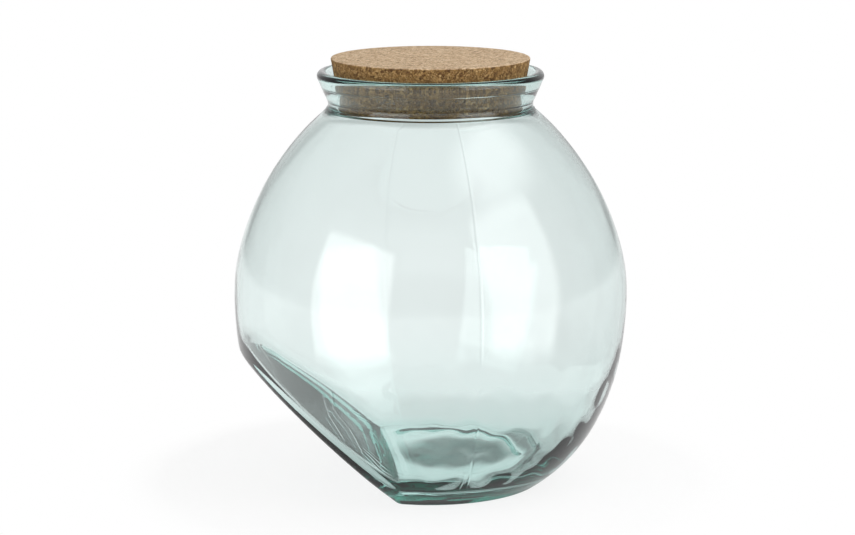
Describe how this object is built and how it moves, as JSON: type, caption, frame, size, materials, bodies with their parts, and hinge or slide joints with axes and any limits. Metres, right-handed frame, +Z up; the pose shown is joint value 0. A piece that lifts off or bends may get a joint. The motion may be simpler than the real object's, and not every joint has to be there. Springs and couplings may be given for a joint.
{
  "type": "glass jar with cork lid",
  "caption": "Round thick glass storage jar with a slanted flat facet to lie tilted on, a flared lip and a tapered cork stopper that lifts out.",
  "frame": {"origin": "centre of the round foot on the table, on the axis of the neck", "axes": "+Z up along the axis of the neck, -X towards the slanted facet"},
  "size_m": [0.2402, 0.2402, 0.2611],
  "materials": {
    "jar_glass": "clear glass with a pale aqua tint, glossy, slightly uneven",
    "cork": "pressed cork granules, matt"
  },
  "bodies": {
    "jar": {"glass_jar": "jar_glass"},
    "stopper": {"cork_stopper": "cork"}
  },
  "joints": [
    {"name": "stopper_lift", "type": "slide", "parent": "jar", "child": "stopper", "axis": [0, 0, 1], "range_m": [0, 0.045]}
  ]
}
